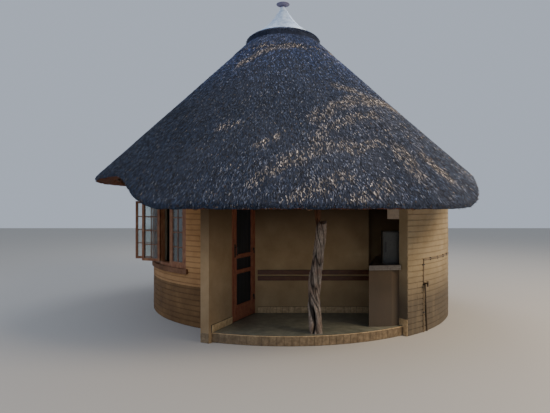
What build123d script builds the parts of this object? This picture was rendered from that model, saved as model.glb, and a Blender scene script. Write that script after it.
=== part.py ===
from build123d import *
import math
import os

# Rondavel hut: a round brick house under one thatched cone. The front of the circle is cut back to make
# a verandah with a kitchen corner on its right. Millimetres, +Z up, +X right and +Y away from the front.
# The origin is on the ground under the point of the roof. A bearing is in degrees from the front, which
# is -Y, with the right hand positive.

# Round house
wall_radius = 2545.0
wall_thickness = 220.0
floor_height = 137.0
wall_top = 2927.0
rear_wall_count = 5

# Verandah
verandah_radius = 3070.0
riser_thickness = 18.0
back_wall_distance = 1737.0
wing_end = (-1080.0, -2950.0)
wing_corner_x = -494.0
thin_wall = 140.0
splay_start = 665.0

# Kitchen corner
kitchen_radius = 3150.0
kitchen_wall = 150.0
kitchen_bearing = 34.2
alcove_depth = 337.0
counter_corner_from_pier = (-476.2501, -118.7583)
counter_end_from_pier = (3.7499, -70.7583)
counter_lean = 17.5
counter_side_gap = 92.1029
counter_height = 900.0
counter_slab = 50.0
counter_wall = 110.0
counter_band = 73.0
band_thickness = 12.0
cupboard_width = 330.0
cupboard_depth = 300.0
cupboard_height = 480.0
cupboard_from_pier = (-206.2501, 151.2417)
cupboard_turn = 8.0
meter_box_width = 200.0
meter_box_depth = 240.0
meter_box_height = 330.0
meter_box_bottom = 1710.0
meter_box_bearing = 36.5

# Back wall fittings
rail_heights = (678.0, 779.0)
rail_width = 68.0
rail_depth = 32.0
rail_start_gap = 45.0
skirting_height = 105.0
skirting_thickness = 12.0
skirting_start = 60.0

# Entrance door
door_start = 610.0
door_frame_width = 45.0
door_frame_depth = 100.0
door_height = 2035.0
door_gap = 8.0
leaf_thickness = 35.0
stile_width = 78.0
top_rail_width = 85.0
kick_rail_width = 232.0
mid_rail_heights = (890.0, 1130.0)
mid_rail_width = 55.0
panel_thickness = 5.0
hinge_radius = 7.0
hinge_offset = 9.0
hinge_length = 90.0
hinge_plate = 3.0
hinge_plate_width = 30.0
hinge_heights = (420.0, 1180.0, 1900.0)
hinge_play = 0.3
handle_height = 1220.0
handle_length = 130.0
handle_radius = 8.0
handle_reach = 45.0

# Window of three lights
window_bearings = (-38.65, -48.8, -58.1, -69.0)
window_sill_height = 900.0
window_head_height = 2050.0
window_frame_outer = 2545.0
window_frame_depth = 70.0
window_frame_width = 50.0
sill_thickness = 80.0
sill_overhang = 45.0
sill_ends = 1.2
sash_thickness = 34.0
sash_width = 350.0
sash_stile = 42.0
sash_play = 0.3
near_sash_gap = 3.0
middle_sash_angle = 143.0
far_sash_angle = 117.0
glass_thickness = 4.0

# Roof
roof_pitch = 44.16
thatch_thickness = 200.0
thatch_hole = 150.0
eave_radius = 3550.0
front_eave_radius = 4040.0
front_eave_bearings = (-22.0, 33.0)
eave_run_bearings = (-46.0, 64.0)
eave_lip = 65.0
blend_sections = 9
trim_margin = 150.0
batten_size = 25.0
batten_hub_gap = 220.0
batten_count = 10
rafter_count = 16
rafter_diameter = 90.0
rafter_eave_gap = 330.0
rafter_turn = 4.0
hub_radius = 300.0
hub_depth = 190.0
plate_width = 100.0
plate_depth = 80.0
seat_play = 0.3

# Roof top
collar_inner = 560.0
collar_outer = 745.0
collar_rise = 62.0
collar_bulge = 12.0
collar_bulge_share = 0.6
collar_slope = 25.0
cap_base_radius = 640.0
cap_height = 670.0
cap_neck_radius = 48.0
cap_sheet = 4.0
cap_hollow = 45.0
cap_rim = 30.0
finial_radius = 135.0
finial_foot_share = 0.55
finial_depth = 34.0
finial_rim = 7.0
finial_dip = 10.0
finial_stem_radius = 22.0
finial_stem = 70.0

# Verandah post and beam
beam_radius = 2925.0
beam_diameter = 120.0
beam_rest = 90.0
# height, sideways place and width of the crooked stem
post_stations = (
    (137.0, 403.0, 186.0),
    (330.0, 398.0, 172.0),
    (508.0, 396.0, 190.0),
    (690.0, 378.0, 166.0),
    (890.0, 396.0, 168.0),
    (1082.0, 419.0, 162.0),
    (1341.0, 462.0, 140.0),
    (1595.0, 477.0, 148.0),
    (1676.0, 484.0, 140.0),
)
post_branch_foot = 1400.0
post_branch_x = 428.0
post_branch_width = 78.0

# Water pipe and garden tap on the kitchen wall
pipe_diameter = 22.0
pipe_bearing = 41.3
pipe_height = 1095.0
pipe_end_bearing = 64.0
tap_height = 740.0
tap_reach = 70.0
tap_diameter = 26.0
tap_drop = 45.0
tap_spout_radius = 11.0
tap_wheel_radius = 19.5
tap_wheel_depth = 9.0
tap_wheel_rise = 27.0
tap_stalk_radius = 5.0
tap_stalk = 31.5
standpipe_radius = 11.0
standpipe_foot_bearing = 43.1

# Bearings that pieces run past their neighbours, so that a cut gives them their end
full_turn = 360.0
wall_run_on = 4.0
pier_run_on = 5.0
riser_run_on = 2.0
plate_end_gap = 4.0
cut_margin = 1.0
kitchen_side = 90.0

tangent = math.tan(math.radians(roof_pitch))
cosine = math.cos(math.radians(roof_pitch))
sine = math.sin(math.radians(roof_pitch))

# The roof's height follows from the walls: the rafters lie on the outer edge of the wall plate
plate_middle = wall_radius - wall_thickness / 2
plate_inner = plate_middle - plate_width / 2
plate_outer = plate_middle + plate_width / 2
rafter_under_apex = wall_top + plate_depth + seat_play + plate_outer * tangent
rafter_top_apex = rafter_under_apex + rafter_diameter / cosine
thatch_inner_apex = rafter_top_apex + batten_size / cosine
thatch_apex = thatch_inner_apex + thatch_thickness / cosine
wall_inner = wall_radius - wall_thickness
kitchen_inner = kitchen_radius - kitchen_wall
alcove_back = back_wall_distance - alcove_depth
counter_top_level = floor_height + counter_height
post_distance = math.sqrt(beam_radius**2 - post_branch_x**2)
tall = thatch_apex


def spot(radius, bearing):
    angle = math.radians(bearing)
    return (radius * math.sin(angle), -radius * math.cos(angle))


def from_pier(offset):
    """A place given from the inner edge of the kitchen's front pier."""
    edge = spot(kitchen_inner, kitchen_bearing)
    return (edge[0] + offset[0], edge[1] + offset[1])


# The counter and the cupboard go with the pier, and the back wall stops short of the counter's side
counter_corner = from_pier(counter_corner_from_pier)
counter_end = from_pier(counter_end_from_pier)
cupboard_place = from_pier(cupboard_from_pier)
counter_rise = -back_wall_distance - counter_corner[1]
back_wall_end = counter_corner[0] + counter_rise * math.tan(math.radians(counter_lean)) - counter_side_gap


def bearing_at(radius, distance):
    return math.degrees(math.acos(distance / radius))


def radial_plane(bearing):
    angle = math.radians(bearing)
    across = (math.sin(angle), -math.cos(angle), 0)
    return Plane(origin=(0, 0, 0), x_dir=across, z_dir=(-math.cos(angle), -math.sin(angle), 0))


def flat_shape(points):
    return make_face(Polyline(*points, close=True))


def turned(points, start=0.0, end=full_turn):
    """A section of (radius, height) points, turned about the roof axis between two bearings."""
    section = radial_plane(start) * flat_shape(points)
    return revolve(section, axis=Axis.Z, revolution_arc=end - start)


def arc_wall(inner, outer, bottom, top, start, end):
    return turned([(inner, bottom), (outer, bottom), (outer, top), (inner, top)], start, end)


def slab(points, bottom, top):
    return Pos(0, 0, bottom) * extrude(flat_shape(points), amount=top - bottom)


def below_rafters():
    reach = front_eave_radius
    under = rafter_under_apex - seat_play
    return turned([(0, -cut_margin), (reach, -cut_margin), (reach, under - reach * tangent), (0, under)])


# The wing wall runs from the end that faces the front to the corner of the back wall
wing_corner = (wing_corner_x, -back_wall_distance)
wing_length = math.dist(wing_end, wing_corner)
wing_along = (
    (wing_corner[0] - wing_end[0]) / wing_length,
    (wing_corner[1] - wing_end[1]) / wing_length,
)
wing_out = (-wing_along[1], wing_along[0])


def wing_spot(along, depth):
    """A place on the wing wall: along from its front end, depth from the verandah face to the room."""
    x = wing_end[0] + wing_along[0] * along + wing_out[0] * depth
    y = wing_end[1] + wing_along[1] * along + wing_out[1] * depth
    return (x, y)


def wing_block(start, end, near, far, bottom, top):
    corners = [wing_spot(start, near), wing_spot(end, near), wing_spot(end, far), wing_spot(start, far)]
    return slab(corners, bottom, top)


def beam_section_height():
    return rafter_under_apex - seat_play - beam_radius * tangent - beam_diameter / 2 / cosine


def beam_span():
    """The bearings of the beam's two ends, each resting on a wall."""
    left = math.degrees(math.atan2(wing_end[0], -wing_end[1]))
    rest = math.degrees(beam_rest / beam_radius)
    return left - rest, kitchen_bearing + rest


def verandah_beam():
    start, end = beam_span()
    place = radial_plane(start) * Pos(beam_radius, beam_section_height(), 0)
    return revolve(place * Circle(beam_diameter / 2), axis=Axis.Z, revolution_arc=end - start)


def beam_pocket():
    """The notch in a wall top that the beam lies in."""
    start, end = beam_span()
    half = beam_diameter / 2
    return arc_wall(beam_radius - half, beam_radius + half, beam_section_height() - half, tall, start, end)


def room_floor():
    disc = Pos(0, 0, floor_height / 2) * Cylinder(wall_inner, floor_height)
    return disc - front_cut()


def front_cut():
    """The space in front of the back wall, the alcove wall and the wing wall's room face."""
    back = -(back_wall_distance - wall_thickness)
    alcove = -(alcove_back - wall_thickness)
    alcove_side = back_wall_end - wall_thickness
    reach = 2 * wall_radius
    left = wing_spot(wing_length, thin_wall)
    left_front = wing_spot(-reach, thin_wall)
    points = [
        left_front,
        left,
        (left[0], back),
        (alcove_side, back),
        (alcove_side, alcove),
        (reach, alcove),
        (reach, -reach),
    ]
    return slab(points, -cut_margin, tall)


def main_ring(bottom, top, start, end):
    return arc_wall(wall_inner, wall_radius, bottom, top, start, end)


def rear_walls():
    start = bearing_at(wall_radius, alcove_back - wall_thickness)
    end = full_turn + window_bearings[-1]
    step = (end - start) / rear_wall_count
    names = ("right_wall", "back_right_wall", "back_wall", "back_left_wall", "left_wall")
    walls = {}
    for index in range(rear_wall_count):
        first = start + index * step
        name = names[index] if index < len(names) else f"rear_wall_{index + 1}"
        if index == 0:
            piece = main_ring(0, wall_top, first - wall_run_on, first + step) - front_cut()
        else:
            piece = main_ring(0, wall_top, first, first + step)
        walls[name] = piece
    return walls


def window_walls():
    near, far = window_bearings[0], window_bearings[-1]
    under = main_ring(0, window_sill_height - sill_thickness, far, near)
    over = main_ring(window_head_height, wall_top, far, near)
    return under, over


def front_left_wall():
    """The face between the window and the wing, splayed behind the door so the way in stays clear."""
    ring = main_ring(0, wall_top, window_bearings[0], 0)
    kept = slab(
        [
            wing_spot(-wall_radius, thin_wall),
            wing_spot(2 * wall_radius, thin_wall),
            wing_spot(2 * wall_radius, 2 * wall_radius),
            wing_spot(-wall_radius, 2 * wall_radius),
        ],
        -cut_margin,
        tall,
    )
    reach = wall_radius
    splay = slab(
        [
            wing_spot(splay_start, thin_wall - cut_margin),
            wing_spot(splay_start + reach, thin_wall - cut_margin),
            wing_spot(splay_start + reach, thin_wall + reach),
        ],
        -cut_margin,
        tall,
    )
    return (ring & kept) - splay


def wing_walls(limit, pocket):
    head = floor_height + door_height + door_frame_width
    beside = wing_block(0, door_start, 0, thin_wall, 0, tall) & limit
    over = wing_block(door_start, wing_length, 0, thin_wall, head, tall) & limit
    return beside - pocket, over


def back_wall(limit):
    left = wing_spot(wing_length, thin_wall)
    inner = -(back_wall_distance - wall_thickness)
    points = [
        wing_corner,
        (back_wall_end, -back_wall_distance),
        (back_wall_end, inner),
        (left[0], inner),
        left,
    ]
    return slab(points, 0, tall) & limit


def alcove_wall(limit):
    """The end wall of the kitchen corner, with the short return that meets the back wall."""
    side = back_wall_end - wall_thickness
    inner = -(back_wall_distance - wall_thickness)
    points = [
        (side, inner),
        (back_wall_end, inner),
        (back_wall_end, -alcove_back),
        (kitchen_radius, -alcove_back),
        (kitchen_radius, -(alcove_back - wall_thickness)),
        (side, -(alcove_back - wall_thickness)),
    ]
    outer = Pos(0, 0, tall / 2) * Cylinder(kitchen_radius, tall)
    return slab(points, 0, tall) & limit & outer


def kitchen_outer_wall(limit, pocket):
    end = bearing_at(kitchen_inner, alcove_back) + pier_run_on
    ring = arc_wall(kitchen_inner, kitchen_radius, 0, tall, kitchen_bearing, end)
    front = slab(
        [(0, -2 * wall_radius), (2 * wall_radius, -2 * wall_radius), (2 * wall_radius, -alcove_back),
         (0, -alcove_back)],
        -cut_margin,
        tall,
    )
    return (ring & front & limit) - pocket


def verandah_floor():
    """One slab from the wing to the alcove, round in front and run under the kitchen corner."""
    left = wing_spot(wing_length, 0)
    left_front = wing_spot(-wall_radius, 0)
    edge = verandah_radius - riser_thickness
    open_side = spot(2 * wall_radius, kitchen_bearing)
    front_area = slab([left_front, left, (0, 0), open_side, (0, -3 * wall_radius)], -cut_margin, tall)
    front = Pos(0, 0, floor_height / 2) * Cylinder(edge, floor_height) & front_area
    kitchen = arc_wall(thin_wall, kitchen_inner, 0, floor_height, kitchen_bearing, kitchen_side)
    back = slab(
        [
            (left[0], -back_wall_distance),
            (back_wall_end, -back_wall_distance),
            (back_wall_end, -alcove_back),
            (2 * wall_radius, -alcove_back),
            (2 * wall_radius, 2 * wall_radius),
            (-2 * wall_radius, 2 * wall_radius),
            (-2 * wall_radius, -back_wall_distance),
        ],
        -cut_margin,
        tall,
    )
    return (front + kitchen) - back


def verandah_riser():
    left = math.degrees(math.atan2(wing_end[0], -wing_end[1]))
    edge = verandah_radius - riser_thickness
    ring = arc_wall(edge, verandah_radius, 0, floor_height, left - riser_run_on, kitchen_bearing)
    outside = wing_block(-wall_radius, wing_length, 0, wall_radius, -cut_margin, tall)
    return ring - outside


def counter_run():
    lean = math.radians(counter_lean)
    return (math.sin(lean), math.cos(lean))


def counter_plan():
    run = counter_run()
    length = (-alcove_back - counter_corner[1]) / run[1]
    back = (counter_corner[0] + run[0] * length, -alcove_back)
    return [
        counter_corner,
        counter_end,
        (kitchen_radius, counter_end[1]),
        (kitchen_radius, -alcove_back),
        back,
    ]


def kitchen_space():
    return Pos(0, 0, tall / 2) * Cylinder(kitchen_inner, tall)


def counter():
    space = kitchen_space()
    plan = counter_plan()
    slab_bottom = counter_top_level - counter_slab
    top = slab(plan, slab_bottom, counter_top_level) & space
    run = counter_run()
    inner = [
        (counter_corner[0] + counter_wall, counter_corner[1] + counter_wall),
        (kitchen_radius, counter_end[1] + counter_wall),
        (kitchen_radius, 0),
        (plan[-1][0] + counter_wall + run[0] * alcove_back / run[1], 0),
    ]
    base = (slab(plan, floor_height, slab_bottom) & space) - slab(inner, floor_height - cut_margin, tall)
    return base, top


def counter_edge():
    """The band of small tiles along the end of the counter."""
    across = math.dist(counter_corner, counter_end)
    turn = math.degrees(math.atan2(counter_end[1] - counter_corner[1], counter_end[0] - counter_corner[0]))
    strip = Box(across, band_thickness, counter_band, align=(Align.MIN, Align.MAX, Align.MAX))
    return Pos(counter_corner[0], counter_corner[1], counter_top_level) * Rot(0, 0, turn) * strip


def cupboard():
    body = Box(cupboard_width, cupboard_depth, cupboard_height, align=(Align.MIN, Align.MIN, Align.MIN))
    return Pos(cupboard_place[0], cupboard_place[1], counter_top_level) * Rot(0, 0, -cupboard_turn) * body


def meter_box():
    box = Box(meter_box_width, meter_box_depth, meter_box_height, align=(Align.CENTER, Align.MIN, Align.MIN))
    sagitta = kitchen_inner - math.sqrt(kitchen_inner**2 - (meter_box_width / 2) ** 2)
    back = kitchen_inner - sagitta
    x, y = spot(back, meter_box_bearing)
    return Pos(x, y, meter_box_bottom) * Rot(0, 0, meter_box_bearing) * box


def dado_rails():
    start = wing_corner_x + rail_start_gap
    rails = []
    for bottom in rail_heights:
        rail = Box(back_wall_end - start, rail_depth, rail_width, align=(Align.MIN, Align.MAX, Align.MIN))
        rails.append(Pos(start, -back_wall_distance, bottom) * rail)
    return rails


def skirting():
    """Tiles along the foot of the back wall and of the wing wall's verandah face."""
    strip = Box(
        back_wall_end - wing_corner_x - rail_start_gap,
        skirting_thickness,
        skirting_height,
        align=(Align.MIN, Align.MAX, Align.MIN),
    )
    back = Pos(wing_corner_x + rail_start_gap, -back_wall_distance, floor_height) * strip
    top = floor_height + skirting_height
    wing = wing_block(skirting_start, door_start, -skirting_thickness, 0, floor_height, top)
    return [back, wing]


def door_frame():
    head = floor_height + door_height
    near = wing_block(door_start, door_start + door_frame_width, 0, door_frame_depth, floor_height, head)
    far = wing_block(wing_length - door_frame_width, wing_length, 0, door_frame_depth, floor_height, head)
    top = wing_block(door_start, wing_length, 0, door_frame_depth, head, head + door_frame_width)
    return near, far, top


leaf_start = door_start + door_frame_width + door_gap
leaf_end = wing_length - door_frame_width - door_gap
leaf_bottom = floor_height + door_gap
leaf_top = floor_height + door_height - door_gap


def door_leaf():
    leaf = wing_block(leaf_start, leaf_end, 0, leaf_thickness, leaf_bottom, leaf_top)
    for bottom, top in door_panes():
        gap = wing_block(leaf_start + stile_width, leaf_end - stile_width, -cut_margin,
                         leaf_thickness + cut_margin, bottom, top)
        leaf = leaf - gap
    return leaf


def door_panes():
    """The heights between the rails, from the kick rail to the top rail."""
    edges = [leaf_bottom + kick_rail_width]
    for middle in mid_rail_heights:
        edges.append(middle - mid_rail_width / 2)
        edges.append(middle + mid_rail_width / 2)
    edges.append(leaf_top - top_rail_width)
    return list(zip(edges[0::2], edges[1::2]))


def door_panels():
    middle = leaf_thickness / 2
    near = middle - panel_thickness / 2
    far = middle + panel_thickness / 2
    panels = []
    for bottom, top in door_panes():
        panels.append(wing_block(leaf_start + stile_width, leaf_end - stile_width, near, far, bottom, top))
    return panels


def door_hinge_spot():
    return wing_spot(leaf_end + door_gap / 2, -hinge_offset)


def hinge_halves(upper):
    """Half of each hinge: a barrel on the door's axis and the plate that holds it."""
    x, y = door_hinge_spot()
    halves = []
    edge = leaf_end + door_gap / 2
    for height in hinge_heights:
        bottom = height + hinge_play / 2 if upper else height - hinge_length / 2
        length = (hinge_length - hinge_play) / 2
        barrel = Pos(x, y, bottom + length / 2) * Cylinder(hinge_radius, length)
        side = -1 if upper else 1
        start, end = sorted((edge, edge + side * hinge_plate_width))
        plate = wing_block(start, end, -hinge_plate, 0, bottom, bottom + length)
        web = wing_block(edge - hinge_radius / 2, edge + hinge_radius / 2, -hinge_offset, 0, bottom,
                         bottom + length)
        halves.append(barrel + plate + web)
    return halves


def door_handle():
    across = leaf_start + stile_width / 2
    x, y = wing_spot(across, -handle_reach)
    grip = Pos(x, y, handle_height) * Cylinder(handle_radius, handle_length)
    pull = grip
    for side in (-1, 1):
        height = handle_height + side * (handle_length / 2 - handle_radius)
        arm = wing_block(across - handle_radius / 2, across + handle_radius / 2, -handle_reach, 0,
                         height - handle_radius / 2, height + handle_radius / 2)
        pull = pull + arm
    return pull


def window_frame():
    inner = window_frame_outer - window_frame_depth
    half = math.degrees(window_frame_width / 2 / window_frame_outer)
    near, far = window_bearings[0], window_bearings[-1]
    low, high = window_sill_height, window_head_height
    frame = arc_wall(inner, window_frame_outer, low, low + window_frame_width, far, near)
    frame = frame + arc_wall(inner, window_frame_outer, high - window_frame_width, high, far, near)
    for index, bearing in enumerate(window_bearings):
        start = bearing - half * (2 if index == 0 else 1)
        start = bearing if index == len(window_bearings) - 1 else start
        frame = frame + arc_wall(inner, window_frame_outer, low, high, start, start + 2 * half)
    return frame


def window_sill():
    near, far = window_bearings[0] + sill_ends, window_bearings[-1] - sill_ends
    bottom = window_sill_height - sill_thickness
    outside = arc_wall(wall_radius, wall_radius + sill_overhang, bottom, window_sill_height, far, near)
    inside = arc_wall(wall_inner, wall_radius, bottom, window_sill_height, window_bearings[-1],
                      window_bearings[0])
    return outside + inside


sash_bottom = window_sill_height + window_frame_width + sash_play
sash_height = window_head_height - window_frame_width - sash_play - sash_bottom


def sash(width):
    """A sash standing on its hinge edge at the origin and reaching along +X, with its pane."""
    low = (Align.MIN, Align.MIN, Align.MIN)
    body = Box(width, sash_thickness, sash_height, align=low)
    inner_width = width - 2 * sash_stile
    inner_height = sash_height - 2 * sash_stile
    gap = Pos(sash_stile, -cut_margin, sash_stile) * Box(
        inner_width, sash_thickness + 2 * cut_margin, inner_height, align=low
    )
    pane = Box(inner_width, glass_thickness, inner_height, align=low)
    pane = Pos(sash_stile, (sash_thickness - glass_thickness) / 2, sash_stile) * pane
    return body - gap, pane


def hung_sash(hinge_bearing, other_bearing, opening):
    """A sash hinged at one post, swung out by an angle from the line to the other post."""
    half = math.degrees(window_frame_width / 2 / window_frame_outer)
    hinge_bearing = hinge_bearing + (half if hinge_bearing == window_bearings[-1] else 0)
    hinge = spot(window_frame_outer + sash_play, hinge_bearing)
    other = spot(window_frame_outer + sash_play, other_bearing)
    closed = math.degrees(math.atan2(other[1] - hinge[1], other[0] - hinge[0]))
    body, pane = sash(sash_width)
    place = Pos(hinge[0], hinge[1], sash_bottom) * Rot(0, 0, closed - opening)
    return place * body, place * pane


def shut_sash():
    half = math.degrees(window_frame_width / 2 / window_frame_outer)
    first = spot(window_frame_outer, window_bearings[1] + half)
    last = spot(window_frame_outer, window_bearings[0] - 2 * half)
    width = math.dist(first, last) - 2 * near_sash_gap
    turn = math.degrees(math.atan2(last[1] - first[1], last[0] - first[0]))
    body, pane = sash(width)
    middle = ((first[0] + last[0]) / 2, (first[1] + last[1]) / 2)
    place = Pos(middle[0], middle[1], sash_bottom) * Rot(0, 0, turn) * Pos(-width / 2, 0, 0)
    return place * body, place * pane


def eave_at(bearing):
    """How far the eave reaches at a bearing: long over the verandah, short round the rest."""
    left, right = front_eave_bearings
    run_left, run_right = eave_run_bearings
    if left <= bearing <= right:
        return front_eave_radius
    if bearing < left:
        share = (bearing - run_left) / (left - run_left)
    else:
        share = (run_right - bearing) / (run_right - right)
    share = min(max(share, 0.0), 1.0)
    share = share * share * (3 - 2 * share)
    return eave_radius + (front_eave_radius - eave_radius) * share


def eave_low(radius):
    return thatch_apex - radius * tangent - eave_lip


def thatch_section():
    """The whole layer of thatch, cut off level and upright at its longest eave."""
    low = eave_low(front_eave_radius)
    return [
        (thatch_hole, thatch_inner_apex - thatch_hole * tangent),
        ((thatch_inner_apex - low) / tangent, low),
        (front_eave_radius, low),
        (front_eave_radius, low + eave_lip),
        (thatch_hole, thatch_apex - thatch_hole * tangent),
    ]


def trim_section(radius):
    """What is cut away at an eave of this radius: all that is further out or lower."""
    low = eave_low(radius)
    inner = (thatch_inner_apex - low) / tangent - trim_margin
    far = front_eave_radius + trim_margin
    return [(inner, low), (radius, low), (radius, low + 2 * trim_margin), (far, low + 2 * trim_margin),
            (far, floor_height), (inner, floor_height)]


def thatch():
    roof = turned(thatch_section())
    left, right = front_eave_bearings
    run_left, run_right = eave_run_bearings
    roof = roof - turned(trim_section(eave_radius), run_right, full_turn + run_left)
    for start, end in ((run_left, left), (right, run_right)):
        sections = []
        for index in range(blend_sections):
            bearing = start + (end - start) * index / (blend_sections - 1)
            sections.append(radial_plane(bearing) * flat_shape(trim_section(eave_at(bearing))))
        roof = roof - loft(sections, ruled=True)
    return roof


def battens():
    """Rings from the hub down to where the shorter rafters end."""
    rings = []
    first = hub_radius + batten_hub_gap
    last = eave_radius - rafter_eave_gap
    across = batten_size * cosine
    drop = batten_size * sine
    for index in range(batten_count):
        radius = first + (last - first) * index / (batten_count - 1)
        top = thatch_inner_apex - radius * tangent
        section = [
            (radius, top),
            (radius + across, top - drop),
            (radius + across - drop, top - drop - across),
            (radius - drop, top - across),
        ]
        rings.append(turned(section))
    return rings


def rafters():
    hub = Pos(0, 0, tall / 2) * Cylinder(hub_radius, tall)
    poles = []
    offset = (rafter_top_apex + rafter_under_apex) / 2
    for index in range(rafter_count):
        bearing = rafter_turn + index * full_turn / rafter_count
        signed = bearing - full_turn if bearing > full_turn / 2 else bearing
        reach = eave_at(signed) - rafter_eave_gap
        length = reach / cosine
        angle = math.radians(bearing)
        down = Vector(math.sin(angle) * cosine, -math.cos(angle) * cosine, -sine)
        across = Vector(math.cos(angle), math.sin(angle), 0)
        plane = Plane(origin=(0, 0, offset), x_dir=across, z_dir=down)
        pole = plane * extrude(Circle(rafter_diameter / 2), amount=length)
        poles.append(pole - hub)
    return poles


def rafter_hub():
    top = thatch_inner_apex - hub_radius * tangent - seat_play
    return Pos(0, 0, top - hub_depth / 2) * Cylinder(hub_radius, hub_depth)


def wall_plate():
    x, y = wing_spot(0, thin_wall)
    start = bearing_at(wall_radius, alcove_back - wall_thickness)
    end = full_turn + math.degrees(math.atan2(x, -y)) - plate_end_gap
    return arc_wall(plate_inner, plate_outer, wall_top, wall_top + plate_depth, start, end)


def thatch_collar():
    seat_inner = thatch_apex - collar_inner * tangent
    seat_outer = thatch_apex - collar_outer * tangent
    top = thatch_apex - cap_base_radius * tangent + collar_rise
    return turned([
        (collar_inner, seat_inner),
        (collar_outer, seat_outer),
        (collar_outer + collar_bulge, seat_outer + collar_rise * collar_bulge_share),
        (collar_outer - collar_slope, top),
        (collar_inner, top),
    ])


cap_bottom = thatch_apex - cap_base_radius * tangent + collar_rise


def metal_cap():
    """Sheet metal cone with a slightly hollow flank, open underneath, on the collar."""
    apex = cap_bottom + cap_height
    start = (cap_base_radius, cap_bottom + cap_rim)
    end = (cap_neck_radius, apex)
    middle = ((start[0] + end[0]) / 2 - cap_hollow, (start[1] + end[1]) / 2 - cap_hollow)
    outside = ThreePointArc(start, middle, end)
    back_start = (cap_base_radius - cap_sheet, cap_bottom + cap_rim)
    back_end = (cap_neck_radius - cap_sheet, apex - cap_sheet)
    back_middle = (middle[0] - cap_sheet, middle[1] - cap_sheet)
    inside = ThreePointArc(back_end, back_middle, back_start)
    inner_edge = (cap_base_radius - cap_sheet, cap_bottom)
    rim = Polyline(back_start, inner_edge, (cap_base_radius, cap_bottom), start)
    top = Polyline(end, (0, apex), (0, apex - cap_sheet), back_end)
    section = make_face(outside + top + inside + rim)
    return revolve(radial_plane(0) * section, axis=Axis.Z)


def finial():
    base = cap_bottom + cap_height
    stem = Pos(0, 0, base + finial_stem / 2) * Cylinder(finial_stem_radius, finial_stem)
    low = base + finial_stem - finial_depth
    dish = turned([
        (0, low),
        (finial_radius * finial_foot_share, low),
        (finial_radius, low + finial_depth - finial_rim),
        (finial_radius, low + finial_depth),
        (0, low + finial_depth - finial_dip),
    ])
    return stem + dish


def post():
    sections = []
    for height, x, width in post_stations:
        sections.append(Pos(x, -post_distance, height) * Circle(width / 2))
    stem = loft(sections)
    beam_under = beam_section_height() - beam_diameter / 2 - seat_play
    branch = Pos(post_branch_x, -post_distance, (post_branch_foot + beam_under) / 2) * Cylinder(
        post_branch_width / 2, beam_under - post_branch_foot
    )
    return stem + branch


def water_pipe():
    radius = kitchen_radius + pipe_diameter / 2 + seat_play
    x, y = spot(radius, pipe_bearing)
    riser = Pos(x, y, pipe_height / 2) * Cylinder(pipe_diameter / 2, pipe_height)
    section = radial_plane(pipe_bearing) * Pos(radius, pipe_height, 0) * Circle(pipe_diameter / 2)
    run = revolve(section, axis=Axis.Z, revolution_arc=pipe_end_bearing - pipe_bearing)
    return riser + run


def garden_tap():
    radius = kitchen_radius + pipe_diameter + 2 * seat_play
    angle = math.radians(pipe_bearing)
    out = Vector(math.sin(angle), -math.cos(angle), 0)
    x, y = spot(radius, pipe_bearing)
    plane = Plane(origin=(x, y, tap_height), x_dir=(0, 0, 1), z_dir=out)
    body = plane * extrude(Circle(tap_diameter / 2), amount=tap_reach)
    spout_at = spot(radius + tap_reach - tap_diameter / 2, pipe_bearing)
    above = Pos(spout_at[0], spout_at[1], tap_height)
    spout = above * Pos(0, 0, -tap_drop / 2) * Cylinder(tap_spout_radius, tap_drop)
    wheel = above * Pos(0, 0, tap_wheel_rise) * Cylinder(tap_wheel_radius, tap_wheel_depth)
    stalk = above * Pos(0, 0, tap_stalk / 2) * Cylinder(tap_stalk_radius, tap_stalk)
    foot_at = spot(kitchen_radius + standpipe_radius + seat_play, standpipe_foot_bearing)
    top_at = spot(radius + tap_diameter / 2, pipe_bearing)
    top = Vector(top_at[0], top_at[1], tap_height)
    foot = Vector(foot_at[0], foot_at[1], 0)
    run = Plane(origin=foot, z_dir=top - foot)
    standpipe = run * extrude(Circle(standpipe_radius), amount=(top - foot).length)
    below = slab([(0, 0), (kitchen_radius * 2, -kitchen_radius * 2), (kitchen_radius * 2, 0)], -tap_drop, 0)
    return (body + spout + stalk + wheel + standpipe) - below


def save(name, shape):
    solids = shape if isinstance(shape, list) else [shape]
    parts = [solid for item in solids for solid in item.solids()]
    whole = parts[0] if len(parts) == 1 else Compound(children=parts)
    export_step(whole, f"parts/{name}.step")


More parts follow.
